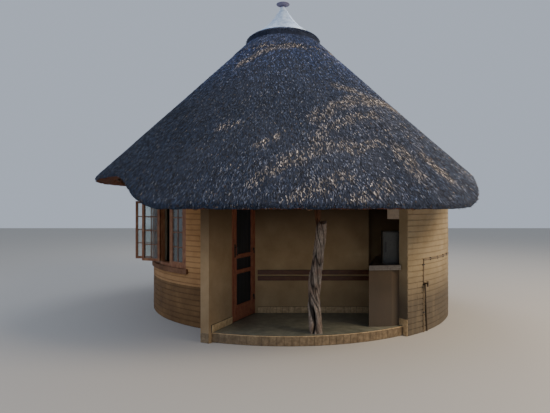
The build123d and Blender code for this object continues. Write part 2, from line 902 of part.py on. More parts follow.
def main():
    os.makedirs("parts", exist_ok=True)
    limit = below_rafters()
    pocket = beam_pocket()
    save("room_floor", room_floor())
    save("verandah_floor", verandah_floor())
    save("verandah_riser", verandah_riser())
    for name, wall in rear_walls().items():
        save(name, wall)
    under, over = window_walls()
    save("wall_under_window", under)
    save("wall_over_window", over)
    save("front_left_wall", front_left_wall())
    beside, over_door = wing_walls(limit, pocket)
    save("wing_wall", beside)
    save("wall_over_door", over_door)
    save("verandah_back_wall", back_wall(limit))
    save("kitchen_end_wall", alcove_wall(limit))
    save("kitchen_outer_wall", kitchen_outer_wall(limit, pocket))
    base, top = counter()
    save("counter_base", base)
    save("counter_top", top)
    save("counter_edge", counter_edge())
    save("cupboard", cupboard())
    save("meter_box", meter_box())
    lower, upper = dado_rails()
    save("dado_rail_lower", lower)
    save("dado_rail_upper", upper)
    save("skirting", skirting())
    near, far, head = door_frame()
    save("door_frame_near_post", near)
    save("door_frame_far_post", far)
    save("door_frame_head", head)
    save("door_frame_hinges", hinge_halves(False))
    save("door_leaf", door_leaf())
    save("door_panels", door_panels())
    save("door_leaf_hinges", hinge_halves(True))
    save("door_handle", door_handle())
    save("window_frame", window_frame())
    save("window_sill", window_sill())
    pairs = (
        ("near", shut_sash()),
        ("middle", hung_sash(window_bearings[2], window_bearings[1], middle_sash_angle)),
        ("far", hung_sash(window_bearings[3], window_bearings[2], far_sash_angle)),
    )
    for name, (body, pane) in pairs:
        save(f"window_{name}_sash", body)
        save(f"window_{name}_glass", pane)
    save("thatch", thatch())
    save("battens", battens())
    save("rafters", rafters())
    save("rafter_hub", rafter_hub())
    save("wall_plate", wall_plate())
    save("verandah_beam", verandah_beam())
    save("thatch_collar", thatch_collar())
    save("metal_cap", metal_cap())
    save("finial", finial())
    save("verandah_post", post())
    save("water_pipe", water_pipe())
    save("garden_tap", garden_tap())


main()
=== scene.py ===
import bpy
import fnmatch
import functools
import math
import numpy as np
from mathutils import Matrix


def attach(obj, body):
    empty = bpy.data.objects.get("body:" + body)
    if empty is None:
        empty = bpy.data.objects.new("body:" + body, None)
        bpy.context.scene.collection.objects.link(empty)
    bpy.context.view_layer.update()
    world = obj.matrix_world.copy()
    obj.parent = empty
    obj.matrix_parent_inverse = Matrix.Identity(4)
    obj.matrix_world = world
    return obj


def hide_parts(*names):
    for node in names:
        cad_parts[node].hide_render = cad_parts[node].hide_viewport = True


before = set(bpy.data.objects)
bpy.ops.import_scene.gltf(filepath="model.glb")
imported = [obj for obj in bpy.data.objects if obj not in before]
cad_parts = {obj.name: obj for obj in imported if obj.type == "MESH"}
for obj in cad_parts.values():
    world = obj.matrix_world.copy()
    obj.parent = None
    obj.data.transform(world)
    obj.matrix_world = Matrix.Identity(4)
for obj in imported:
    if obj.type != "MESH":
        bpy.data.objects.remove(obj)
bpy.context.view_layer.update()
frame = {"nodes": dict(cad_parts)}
nodes = frame["nodes"]
print("frame loaded:", len(nodes), "nodes")


# Helpers shared by all pieces: colour, shader nodes, noise and meshes

def hexColour(text):
    channels = [int(text[i:i + 2], 16) / 255 for i in (1, 3, 5)]
    return (*[c / 12.92 if c <= 0.04045 else ((c + 0.055) / 1.055) ** 2.4 for c in channels], 1.0)


def setSockets(node, values):
    # a value that is a socket is linked, a text is a hex colour, anything else is set
    for name, value in values.items():
        if isinstance(value, bpy.types.NodeSocket):
            node.id_data.links.new(value, node.inputs[name])
        else:
            node.inputs[name].default_value = hexColour(value) if isinstance(value, str) else value


def addNode(tree, kind, inputs=None, output=0, stops=None, **settings):
    node = tree.nodes.new("ShaderNode" + kind)
    for name, value in settings.items():
        setattr(node, name, value)
    setSockets(node, inputs or {})
    if stops:
        elements, places = node.color_ramp.elements, list(stops)
        elements[0].position, elements[-1].position = places[0], places[-1]
        for position in places[1:-1]:
            elements.new(position)
        for element, colour in zip(elements, stops.values()):
            element.color = hexColour(colour)
    return node.outputs[output]


def newFinish(name, **sockets):
    # gives the material, addNode for its tree, its main shader and the object's own coordinates
    material = bpy.data.materials.new(name)
    material.use_nodes = True
    shader = material.node_tree.nodes["Principled BSDF"]
    setSockets(shader, {socket.replace("_", " "): value for socket, value in sockets.items()})
    add = functools.partial(addNode, material.node_tree)
    return material, add, shader, add("TexCoord", output="Object")


def stain(add, colour, over, pattern, low, high, most):
    # lays another colour over this one, up to a share, where the pattern runs from low to high
    share = add("MapRange", {"Value": pattern, "From Min": low, "From Max": high, "To Max": most})
    return add("Mix", {0: share, 6: colour, 7: over}, 2, data_type="RGBA")


def coat(material, add, shader, colour, relief, depth, strength):
    # the last step of a finish: its colour, and a relief so many metres deep
    normal = add("Bump", {"Height": relief, "Distance": depth, "Strength": strength}, "Normal")
    setSockets(shader, {"Base Color": colour, "Normal": normal})
    return material


def perMetre(millimetres):
    return 1000.0 / millimetres


def valueNoise(x, y, seed, wrap=None):
    # smooth noise from -0.5 to 0.5, one feature a unit, repeating in x after wrap units
    size = 257
    table = np.random.default_rng(seed).random((size, size)) - 0.5
    xi, yi = np.floor(x).astype(int), np.floor(y).astype(int)
    xf, yf = x - xi, y - yi
    xf, yf = xf * xf * (3 - 2 * xf), yf * yf * (3 - 2 * yf)
    x0, x1 = (xi % (wrap or size)) % size, ((xi + 1) % (wrap or size)) % size
    top = table[x0, yi % size] * (1 - xf) + table[x1, yi % size] * xf
    low = table[x0, (yi + 1) % size] * (1 - xf) + table[x1, (yi + 1) % size] * xf
    return top * (1 - yf) + low * yf


def polar(radius, bearing):
    angle = np.radians(bearing)
    return radius * np.sin(angle), -radius * np.cos(angle)


def ringPoints(radius, bearings, height):
    x, y = polar(radius, bearings)
    return np.stack([x, y, np.broadcast_to(height, x.shape)], axis=1)


def gridFaces(rows, columns, closed=False):
    across = columns if closed else columns - 1
    row, column = np.meshgrid(np.arange(rows - 1), np.arange(across), indexing="ij")
    low, high, beside = row * columns, (row + 1) * columns, (column + 1) % columns
    return np.stack([low + column, low + beside, high + beside, high + column], axis=-1).reshape(-1, 4)


def newObject(name, data):
    item = bpy.data.objects.new(name, data)
    bpy.context.collection.objects.link(item)
    return item


def meshPiece(name, points, faces, material, body="hut", smooth=False):
    mesh = bpy.data.meshes.new(name)
    mesh.from_pydata(np.asarray(points, dtype=float).tolist(), [], [list(map(int, face)) for face in faces])
    mesh.materials.append(material)
    mesh.polygons.foreach_set("use_smooth", [smooth] * len(mesh.polygons))
    piece = newObject(name, mesh)
    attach(piece, body)
    return piece


def tint(piece, name, colours):
    layer = piece.data.color_attributes.new(name, "FLOAT_COLOR", "POINT")
    layer.data.foreach_set("color", np.asarray(colours, dtype=np.float32).reshape(-1))


def pads(name, cells, mapping, material, body="hut", proud=0.003, bevel=0.003, back=0.001):
    # bevelled pads on a surface: mapping turns along, up and out into a place in the world
    rng = np.random.default_rng(5)
    points, faces = [], []
    for left, right, low, high in cells:
        lift = proud * rng.uniform(0.75, 1.0)
        base = len(points)
        for inset, out in ((0.0, -back), (0.0, lift - min(bevel, lift) * 0.7), (bevel, lift)):
            for along, up in ((left + inset, low + inset), (right - inset, low + inset),
                              (right - inset, high - inset), (left + inset, high - inset)):
                points.append(mapping(along, up, out))
        faces += (gridFaces(3, 4, closed=True) + base).tolist() + [range(base + 8, base + 12)]
    meshPiece(name, points, faces, material, body)


def rowCells(start, end, count, low, high, joint):
    step, half = (end - start) / count, joint / 2
    return [(start + i * step + half, start + (i + 1) * step - half, low + half, high - half)
            for i in range(count)]


# Camera at the photograph's place: level, 1.9 m above the ground

photoView = {"place": (-0.164, -9.107, 1.90), "lens": 29.1, "sensor": 36}


def setCamera():
    camera = newObject("photoCamera", bpy.data.cameras.new("photoCamera"))
    camera.location = photoView["place"]
    camera.rotation_euler = (math.radians(90), 0, 0)
    camera.data.lens, camera.data.sensor_width = photoView["lens"], photoView["sensor"]
    bpy.context.scene.camera = camera


# Studio: a pale floor, a pale sky and soft lamps, the warm one on the right as the sun is in the photograph

studio = {
    "floorColour": "#b4b0a9", "floorHalf": 30.0, "skyColour": "#d6e1f2", "skyStrength": 0.66,
    "lamps": [
        {"at": (9.5, -6.5, 10.0), "aim": (0.8, 0, 2.2), "size": 6, "power": 1650, "colour": "#ffeacb"},
        {"at": (-9, -6, 9), "aim": (0, 0, 2.5), "size": 8, "power": 320, "colour": "#d2e0ff"},
        {"at": (2, 8, 12), "aim": (0, 0, 4), "size": 6, "power": 500, "colour": "#f2f5ff"},
    ],
}


def setStudio():
    material = newFinish("palePaperFloor", Base_Color=studio["floorColour"], Roughness=0.9)[0]
    half = studio["floorHalf"]
    mesh = bpy.data.meshes.new("studioFloor")
    # 1 mm under the hut, so the two never share a plane
    corners = [(x * half, y * half, -0.001) for x, y in ((-1, -1), (1, -1), (1, 1), (-1, 1))]
    mesh.from_pydata(corners, [], [(0, 1, 2, 3)])
    mesh.materials.append(material)
    floor = newObject("studioFloor", mesh)
    world = bpy.data.worlds.new("studioSky")
    world.use_nodes = True
    sky = world.node_tree.nodes["Background"]
    sky.inputs["Color"].default_value = hexColour(studio["skyColour"])
    sky.inputs["Strength"].default_value = studio["skyStrength"]
    bpy.context.scene.world = world
    for index, lamp in enumerate(studio["lamps"]):
        data = bpy.data.lights.new(f"softLamp{index + 1}", "AREA")
        data.energy, data.size, data.color = lamp["power"], lamp["size"], hexColour(lamp["colour"])[:3]
        light = newObject(f"softLamp{index + 1}", data)
        light.location = lamp["at"]
        aim = [b - a for a, b in zip(lamp["at"], lamp["aim"])]
        light.rotation_euler = (math.atan2(math.hypot(aim[0], aim[1]), -aim[2]), 0,
                                math.atan2(aim[1], aim[0]) - math.pi / 2)


setCamera()
setStudio()
print("camera and studio set")


# Paint on brick and plaster. Sizes in the patterns are in millimetres, heights in metres.

paint = {
    "cream": {0.3: "#a07548", 0.5: "#b28555", 0.72: "#c39663"},
    "brown": {0.3: "#5e4329", 0.55: "#745635", 0.75: "#866540"},
    "room": {0.3: "#a39274", 0.6: "#b8a888"},
    "creamPits": "#7c6242", "brownPits": "#826649", "mud": "#50473d", "eaveShadeColour": "#4a3a2a", "mortar": "#2f2417",
    "mudHeights": (1.0, 0.45), "eaveShadeHeights": (1.1, 1.85), "jointFade": (0.012, 0.004),
    "plinthTop": 0.64, "plinthWander": 0.012, "course": 0.085, "wallMiddle": 2.43, "kitchenFace": 3.146,
}


def wallPaint(name, brownPlinth, joints, splash, eaveShading, stops):
    # masonry paint; joints is how dark the bed joints are, splash how much mud the rain has thrown up the
    # foot, and the share after splash how strongly painted shade darkens the upper part under the eave
    material, add, shader, place = newFinish(name, Roughness=0.8, Specular_IOR_Level=0.3)
    height = add("SeparateXYZ", {"Vector": place}, "Z")
    blotch = add("TexNoise", {"Vector": place, "Scale": perMetre(420), "Detail": 5, "Roughness": 0.6})
    fine = add("TexNoise", {"Vector": place, "Scale": perMetre(14), "Detail": 4, "Roughness": 0.6})
    sand = add("TexNoise", {"Vector": place, "Scale": perMetre(4)})
    colour = add("ValToRGB", {"Fac": blotch}, stops=stops)
    colour = stain(add, colour, paint["creamPits"], fine, 0.55, 0.8, 0.35)
    runs = add("Mapping", {"Vector": place, "Scale": (1, 1, 0.16)})
    runs = add("TexNoise", {"Vector": runs, "Scale": perMetre(140), "Detail": 5, "Roughness": 0.65})
    runs = add("MapRange", {"Value": runs, "From Min": 0.15, "From Max": 0.5, "To Min": splash * 0.6,
                            "To Max": splash})
    colour = stain(add, colour, paint["mud"], height, *paint["mudHeights"], runs)
    # painted shade: darker towards the top, where the eave shades the wall
    colour = stain(add, colour, paint["eaveShadeColour"], height, *paint["eaveShadeHeights"], eaveShading)
    if brownPlinth:
        brown = add("ValToRGB", {"Fac": blotch}, stops=paint["brown"])
        brown = stain(add, brown, paint["brownPits"], fine, 0.55, 0.8, 0.35)
        wander = paint["plinthWander"]
        edge = add("Math", {0: fine, 1: wander, 2: paint["plinthTop"] - wander / 2}, operation="MULTIPLY_ADD")
        below = add("Math", {0: height, 1: edge}, operation="LESS_THAN")
        colour = add("Mix", {0: below, 6: colour, 7: brown}, 2, data_type="RGBA")
    radius = add("VectorMath", {0: place, 1: (1, 1, 0)}, operation="MULTIPLY")
    radius = add("VectorMath", {0: radius}, "Value", operation="LENGTH")
    if joints:
        near = add("Math", {0: height, 1: paint["course"] / 2}, operation="PINGPONG")
        dark = add("MapRange", {"Value": blotch, "From Min": 0.3, "From Max": 0.6, "To Min": joints * 0.45,
                                "To Max": joints})
        if not brownPlinth:
            face = add("Math", {0: radius, 1: paint["kitchenFace"]}, operation="GREATER_THAN")
            dark = add("Math", {0: dark, 1: face}, operation="MULTIPLY")
        colour = stain(add, colour, paint["mortar"], near, *paint["jointFade"], dark)
    if brownPlinth:
        within = add("Math", {0: radius, 1: paint["wallMiddle"]}, operation="LESS_THAN")
        room = add("ValToRGB", {"Fac": blotch}, stops=paint["room"])
        colour = add("Mix", {0: within, 6: colour, 7: room}, 2, data_type="RGBA")
    relief = add("Math", {0: fine, 1: sand}, operation="ADD")
    return coat(material, add, shader, colour, relief, 0.0012, 0.6)


def plainSurface(name, stops, wear, size, dirt, dirtSize, stretch=(1, 1, 1), depth=0.0006, **sockets):
    # tone changes of a size, patches of dirt, and a little relief; a stretch under 1 draws the grain out
    # that way
    material, add, shader, place = newFinish(name, **sockets)
    drawn = add("Mapping", {"Vector": place, "Scale": stretch})
    fibre = add("TexNoise", {"Vector": drawn, "Scale": perMetre(size), "Detail": 5, "Roughness": 0.62})
    patch = add("TexNoise", {"Vector": place, "Scale": perMetre(dirtSize), "Detail": 5, "Roughness": 0.6})
    colour = stain(add, add("ValToRGB", {"Fac": fibre}, stops=stops), dirt, patch, 0.45, 0.72, wear)
    return coat(material, add, shader, colour, fibre, depth, 0.7)


brickPaint = wallPaint("creamPaintedFaceBrick", True, 0.3, 0.3, 0, paint["cream"])
kitchenPaint = wallPaint("splashedCreamFaceBrick", False, 0.2, 0.85, 0, {
    0.3: "#8e7a5a", 0.5: "#9d8a6a", 0.72: "#ab9779"})
# the wing wall's plaster, darkened towards its top by painted shade under the eave
plaster = wallPaint("floatedCementPlaster", False, 0, 0.25, 0.85, {
    0.3: "#977c58", 0.55: "#a88d68", 0.75: "#b59a75"})
# the same plaster inside the verandah, darkened higher up by painted shade under the eave
innerPlaster = wallPaint("eaveShadedVerandahPlaster", False, 0, 0.15, 0.95, {
    0.3: "#9c825d", 0.55: "#ae946d", 0.75: "#bca27b"})
# the counter's front, its tones darkened as painted shade where it stands back under the eave, with mud at
# its foot
counterShadePlaster = wallPaint("shadedCounterPlaster", False, 0, 0.8, 0.45, {
    0.3: "#4d3f2e", 0.55: "#5a4a38", 0.75: "#665641"})
# red oxide paint on the brick-on-edge sill, worn to brown
sillPaint = wallPaint("redOxideSillPaint", False, 0, 0.2, 0, {
    0.3: "#5f4029", 0.5: "#755036", 0.72: "#876148"})
# steel-trowelled green oxide floor, waxed, cloudy with a low sheen
cement = plainSurface("waxedGreenCement", {0.3: "#56584d", 0.5: "#6d6f63", 0.72: "#878777"}, 0.4, 140,
                      "#938c78", 420, depth=0.0008, Roughness=0.38)
# unglazed tan clay tile, each a little different and dusty at the joints, its tones partly darkened as
# painted shade
shadedClayTile = plainSurface("shadedTanClayTile", {0.32: "#65533b", 0.5: "#7f6b50", 0.7: "#968163"}, 0.5, 45,
                        "#524432", 130, Roughness=0.6)
# the same tile behind the verandah's edge, paler as it carries none of the riser's painted shade
skirtTile = plainSurface("unshadedTanTile", {0.32: "#9b825c", 0.5: "#b89d75", 0.7: "#cdb48c"}, 0.4, 45,
                         "#7b6648", 130, Roughness=0.5)
# the mortar bed seen between the tiles
tileBed = plainSurface("greyTileMortar", {0.3: "#3d3629", 0.7: "#5a5142"}, 0.4, 9, "#2c261d", 90,
                       Roughness=0.9)
# meranti joinery under old dark oil: reddish where the sun has dried it, grain runs upright
joinery = plainSurface("oiledMeranti", {0.3: "#63362a", 0.5: "#8c4f39", 0.7: "#ad7052"}, 0.55, 7,
                       "#ab7450", 80, stretch=(1, 1, 0.05), depth=0.0008, Roughness=0.5)
# window joinery gets more sun: paler and browner, with bare patches
windowWood = plainSurface("sunDriedMeranti", {0.3: "#5c331d", 0.5: "#83502f", 0.7: "#a5704a"}, 0.5, 7,
                          "#b58a62", 90, stretch=(1, 1, 0.05), depth=0.0008, Roughness=0.55)
# the two rails: dark red-brown enamel with knocks from chair backs
railPaint = plainSurface("redBrownEnamel", {0.3: "#3b1b08", 0.5: "#54290e", 0.7: "#6a3a17"}, 0.5, 10,
                         "#6f4824", 60, stretch=(0.08, 1, 1), Roughness=0.45)
# debarked gum pole: honey brown, checked, smoked darker in patches
polePine = plainSurface("agedGumPole", {0.3: "#3a2616", 0.5: "#654627", 0.7: "#8f6b43"}, 0.6, 22,
                        "#35251a", 170, depth=0.003, Roughness=0.7)
# thin old paint on the finial's sheet, chalky mauve going to bare brown
finialPaint = plainSurface("weatheredFinialPaint", {0.3: "#615d79", 0.6: "#8681a1"}, 0.6, 18,
                           "#93868b", 60, Roughness=0.55)
# stove enamel on the cupboard and on the box, even and a little grimy
greyEnamel = plainSurface("greySheetEnamel", {0.3: "#35352f", 0.6: "#42423b"}, 0.5, 30, "#282722", 120,
                          Roughness=0.45)
creamEnamel = plainSurface("creamSheetEnamel", {0.3: "#c9b7a2", 0.6: "#dac8b2"}, 0.5, 30, "#a08c77", 100,
                           Roughness=0.5)
# steel pipe painted over with the wall, chipped dark at the joints
pipePaint = plainSurface("creamPaintedPipe", {0.3: "#705e47", 0.6: "#8b7658"}, 0.6, 12, "#453626", 60,
                         Roughness=0.6)
# forged and blackened ironmongery with a breath of rust
blackIron = plainSurface("blackenedIron", {0.3: "#151413", 0.6: "#24211e"}, 0.4, 8, "#3a2e26", 40,
                         Roughness=0.45)
# brass gone brown, bright only where hands turn it
tapBrass = plainSurface("tarnishedBrass", {0.3: "#41362a", 0.6: "#5d4e3b"}, 0.6, 10, "#2f2618", 30,
                        Roughness=0.45, Metallic=0.35)
# polished dark worktop with pale flecks
worktopStone = plainSurface("darkPolishedWorktop", {0.3: "#1c1b1a", 0.6: "#302e2b"}, 0.4, 7, "#45413b",
                            200, Roughness=0.3)
# glazed mosaic, off-white, crazed and dusty, its tones darkened to grey as painted shade in the kitchen
# corner
shadedMosaicGlaze = plainSurface("shadedPaleMosaicGlaze", {0.3: "#655d55", 0.6: "#7e766c"}, 0.5, 25, "#4e463e", 60,
                         Roughness=0.28)
# galvanised sheet, dull and cloudy, brighter where the rain runs; its pale blue-white tones are painted
# reflection of the sky
skyTintedZinc = plainSurface("skyTintedGalvanisedSheet", {0.3: "#9db4d2", 0.5: "#bfd2ea", 0.72: "#e2edf8"}, 0.45, 60,
                    "#8aa2c2", 320, stretch=(1, 1, 0.3), depth=0.003, Roughness=0.55, Metallic=0.45)
# black fly mesh: wires 1.4 mm apart read as a dark veil that hangs in faint upright folds
flyScreen = plainSurface("blackFlyMesh", {0.35: "#101315", 0.55: "#22282d", 0.72: "#39424a"}, 0.4, 40,
                         "#0b0c0d", 300, stretch=(1, 1, 0.03), depth=0.003, Roughness=0.55)


def windowGlass():
    # clear float glass with a film of dust that softens what it mirrors
    material, add, shader, place = newFinish("dustyFloatGlass", Base_Color="#dfe6e4",
                                              Transmission_Weight=0.92, IOR=1.45)
    dust = add("TexNoise", {"Vector": place, "Scale": perMetre(90), "Detail": 5})
    dull = add("MapRange", {"Value": dust, "From Min": 0.4, "From Max": 0.8, "To Min": 0.02, "To Max": 0.2})
    setSockets(shader, {"Roughness": dull})
    return material


def slopePlace(add, place, down):
    # roof coordinates with no seam: round the cone at a fixed 3 m radius, and the height drawn out
    flat = add("VectorMath", {0: place, 1: (1, 1, 0)}, operation="MULTIPLY")
    flat = add("VectorMath", {0: flat}, operation="NORMALIZE")
    upright = add("VectorMath", {0: place, 1: (0, 0, down)}, operation="MULTIPLY")
    return add("VectorMath", {0: flat, 1: (3, 3, 0), 2: upright}, operation="MULTIPLY_ADD")


def combedGrass(name, dark, middle, pale, shadow, bleached):
    # weathered grass combed down the slope: slate where it is old, paler where stalks lie on top; the blue
    # in the tones given is painted skylight
    material, add, shader, place = newFinish(name, Roughness=0.85, Specular_IOR_Level=0.25)
    streak, clump, broad = (
        add("TexNoise", {"Vector": slopePlace(add, place, down), "Scale": perMetre(size),
                         "Detail": detail, "Roughness": rough})
        for down, size, detail, rough in ((0.3, 14, 5, 0.65), (0.5, 110, 5, 0.6), (1, 800, 3, 0.5)))
    colour = add("ValToRGB", {"Fac": streak}, stops={0.32: dark, 0.52: middle, 0.7: pale})
    colour = stain(add, colour, shadow, clump, 0.42, 0.66, 0.55)
    colour = stain(add, colour, bleached, broad, 0.45, 0.7, 0.4)
    relief = add("Math", {0: clump, 1: 1.5, 2: streak}, operation="MULTIPLY_ADD")
    return coat(material, add, shader, colour, relief, 0.012, 0.9)


def stalkFinish():
    # loose stalks and tufts: each carries its own tone, speckled with near-black mould
    material, add, shader, place = newFinish("looseGrassStalks", Roughness=0.7, Specular_IOR_Level=0.35)
    own = add("VertexColor", output="Color", layer_name="ownTone")
    speck = add("TexNoise", {"Vector": place, "Scale": perMetre(12), "Detail": 3})
    setSockets(shader, {"Base Color": stain(add, own, "#14161c", speck, 0.42, 0.72, 0.55)})
    return material


def cutEnds():
    # the trimmed eave seen from below: butts of stalks, kept orange-brown by the shade
    material, add, shader, place = newFinish("cutGrassButts", Roughness=0.85, Specular_IOR_Level=0.25)
    ends = add("TexVoronoi", {"Vector": place, "Scale": perMetre(11)}, "Distance")
    soft = add("TexNoise", {"Vector": place, "Scale": perMetre(140), "Detail": 4})
    colour = add("ValToRGB", {"Fac": ends}, stops={0.0: "#c4804e", 0.35: "#8c4d29", 0.75: "#381d0f"})
    colour = stain(add, colour, "#40281a", soft, 0.4, 0.65, 0.5)
    return coat(material, add, shader, colour, ends, 0.006, 0.8)


def barkFinish(name, dark, middle, pale, blush):
    # a dead trunk: pale silver ridges, dark furrows and twisting fibre; the hollows come with the mesh, where
    # near-black painted shade is mixed in
    material, add, shader, place = newFinish(name, Roughness=0.78, Specular_IOR_Level=0.3)
    drawn = add("Mapping", {"Vector": place, "Scale": (1, 1, 0.09)})
    fibre = add("TexNoise", {"Vector": drawn, "Scale": perMetre(9), "Detail": 6, "Roughness": 0.65,
                             "Distortion": 0.4})
    patch = add("TexNoise", {"Vector": place, "Scale": perMetre(170), "Detail": 4})
    colour = add("ValToRGB", {"Fac": fibre}, stops={0.32: dark, 0.5: middle, 0.7: pale})
    colour = stain(add, colour, blush, patch, 0.46, 0.62, 0.55)
    # painted shade: near-black in the furrows and the split, as marked by the mesh's hollow layer
    hollow = add("VertexColor", output="Color", layer_name="hollow")
    colour = add("Mix", {0: hollow, 6: colour, 7: "#14100c"}, 2, data_type="RGBA")
    return coat(material, add, shader, colour, fibre, 0.004, 0.8)


glass = windowGlass()
grass = combedGrass("weatheredGrassThatch", "#10131c", "#283042", "#505a70", "#181c27", "#424652")
underGrass = combedGrass("shadedGrassCeiling", "#3a1f10", "#834a26", "#b87544", "#47260f", "#965b31")
collarGrass = combedGrass("sootyRidgeThatch", "#0f1420", "#222a3e", "#3b4560", "#151a28", "#333a4c")
stalks = stalkFinish()
butts = cutEnds()
trunk = barkFinish("silverDeadTrunk", "#43392f", "#8b7d70", "#c0b5a8", "#7c6150")
branchBark = barkFinish("ruddyBranch", "#331d12", "#643f28", "#8d6143", "#472d1e")
print("finishes made")

# the carried pieces' finishes; a later line holds where two name the same piece
cadFinish = {
    "*_wall wall_*_window": brickPaint, "kitchen_outer_wall": kitchenPaint, "wing_wall": plaster,
    "wall_over_door verandah_back_wall kitchen_end_wall": innerPlaster, "counter_base": counterShadePlaster,
    "window_sill": sillPaint, "*_floor": cement, "verandah_riser skirting counter_edge": tileBed,
    "counter_top": worktopStone, "battens rafter* wall_plate verandah_beam": polePine,
    "door_frame_*post door_frame_head door_leaf": joinery, "window_frame window_*_sash": windowWood,
    "dado_rail_*": railPaint, "door_panels": flyScreen, "window_*_glass": glass,
    "door_*_hinges door_handle": blackIron, "metal_cap": skyTintedZinc, "finial": finialPaint,
    "cupboard": greyEnamel, "meter_box": creamEnamel, "water_pipe": pipePaint, "garden_tap": tapBrass,
    "thatch_collar": collarGrass,
}
for patterns, finish in cadFinish.items():
    for name in [n for pattern in patterns.split() for n in fnmatch.filter(nodes, pattern)]:
        for holder in nodes[name].material_slots:
            holder.material = finish
print("finishes on the carried pieces")


# Face brick on the round walls: each course is a strip that stands proud of its joints

bricks = {"course": paint["course"], "length": 0.222, "joint": 0.012, "proud": 0.008, "arris": 0.004,
          "sink": 0.003, "upright": 0.0028, "jitter": 0.0016, "ripple": 0.0008, "leastLength": 0.03,
          "leastHeight": 0.02}


def brickStrips(radius, start, end, low, high, seed):
    rng = np.random.default_rng(seed)
    points, faces = [], []
    tall, joint, proud, jitter = (bricks[k] for k in ("course", "joint", "proud", "jitter"))
    pitch = math.degrees((bricks["length"] + joint) / radius)
    arris = math.degrees(bricks["arris"] / radius)
    for course in range(math.floor(low / tall), math.ceil(high / tall)):
        bottom = max(course * tall + joint / 2, low)
        top = min((course + 1) * tall - joint / 2, high)
        if top - bottom < bricks["leastHeight"]:
            continue
        shift = (course % 2) * 0.5
        columns = [(start, 0.0, 0.0)]
        index = math.floor(start / pitch - shift)
        while (index + shift) * pitch < end:
            left, right = max((index + shift) * pitch, start), min((index + 1 + shift) * pitch, end)
            index += 1
            if math.radians(right - left) * radius < bricks["leastLength"]:
                continue
            out = proud + rng.uniform(-1, 1) * jitter
            lean = rng.uniform(-1, 1) * jitter * 0.6
            columns += [(left + arris * 0.3, proud - bricks["upright"], 0.0),
                        (left + 2 * arris, out, lean), ((left + right) / 2, out, lean),
                        (right - 2 * arris, out, lean)]
        columns.append((end, 0.0, 0.0))
        rows = [(bottom, 0, 0), (bottom + bricks["arris"], 1, -1), (top - bricks["arris"], 1, 1), (top, 0, 0)]
        base = len(points)
        for height, face, side in rows:
            lift = rng.uniform(-bricks["ripple"], bricks["ripple"], len(columns))
            for (bearing, out, lean), rise in zip(columns, lift):
                x, y = polar(radius + (out + lean * side if face else -bricks["sink"]), bearing)
                points.append((x, y, height + (rise if face else 0)))
        faces.append(gridFaces(len(rows), len(columns)) + base)
    return points, np.concatenate(faces)


def brickFace(name, patches, material):
    points, faces = [], []
    for seed, patch in enumerate(patches):
        newPoints, newFaces = brickStrips(*patch, seed + 11)
        faces.append(newFaces + len(points))
        points += newPoints
    meshPiece(name, points, np.concatenate(faces), material)


house = {"radius": 2.545, "top": 2.925, "near": -38.65, "far": -69.0, "wingEdge": -22.6, "sillLow": 0.82,
         "head": 2.05, "alcove": 62.4, "kitchenRadius": 3.15, "kitchenStart": 34.25, "kitchenEnd": 66.2,
         "kitchenTop": 2.355, "floor": 0.137, "coursesBelow": 9, "coursesToHead": 25}


def layBricks():
    radius, top, near, far = (house[k] for k in ("radius", "top", "near", "far"))
    # the bond runs on past the window below its sill and over its head, so no straight joint shows
    low, high = (house[k] * bricks["course"] for k in ("coursesBelow", "coursesToHead"))
    brickFace("frontLeftBricks", [(radius, near, house["wingEdge"], low, high)], brickPaint)
    brickFace("windowBricks", [
        (radius, far, house["wingEdge"], 0.0, low), (radius, far, near, low, house["sillLow"]),
        (radius, far, near, house["head"], high), (radius, far, house["wingEdge"], high, top)], brickPaint)
    middle = (house["alcove"] + 360 + far) / 2
    brickFace("rightRearBricks", [(radius, house["alcove"], middle, 0.0, top)], brickPaint)
    brickFace("leftRearBricks", [(radius, middle, 360 + far, 0.0, top)], brickPaint)
    brickFace("kitchenBricks", [(house["kitchenRadius"], house["kitchenStart"], house["kitchenEnd"], 0.0,
                                 house["kitchenTop"])], kitchenPaint)


layBricks()
print("bricks laid")


# Tiles: riser, skirting, the foot of the wing wall and of the pier, the counter's mosaic band and the
# window's brick-on-edge sill

tiles = {"riserRadius": 3.070, "riserLeft": -20.05, "riserRight": 34.1, "width": 0.104, "joint": 0.004,
         "skirtTop": 0.242, "skirtThick": 0.012, "backCorner": (-0.449, -1.737), "backRun": (0, 1.839, 18),
         "wingStart": 0.06, "wingRun": (0, 0.55, 5), "beadCount": 14, "beadHeights": (-0.011, 0.001),
         "pierThick": 0.150, "bandStart": (1.210, -2.600), "bandEnd": (1.690, -2.552), "bandTop": 1.037,
         "bandHeight": 0.073, "bandRows": 3, "bandOut": 0.012, "mosaic": 0.0235, "mosaicJoint": 0.0025,
         "sillRadius": 2.590, "sillCount": 15, "sillEnds": 0.06, "sillHeights": (0.821, 0.899)}
wing = {"end": np.array([-1.080, -2.950]), "corner": np.array([-0.494, -1.737]), "thick": 0.140}
wing["length"] = float(np.linalg.norm(wing["corner"] - wing["end"]))
wing["along"] = (wing["corner"] - wing["end"]) / wing["length"]
wing["out"] = np.array([wing["along"][1], -wing["along"][0]])


def onFace(corner, direction):
    # a flat upright face: direction runs to the right as seen from outside
    right = np.array(direction) / np.linalg.norm(direction)
    outward = np.array([right[1], -right[0]])
    return lambda along, up, out: (*(np.array(corner) + right * along + outward * out), up)


def onArc(radius):
    return lambda along, up, out: (*polar(radius + out, along / radius * 180 / math.pi), up)


onWing = onFace(wing["end"], wing["along"])


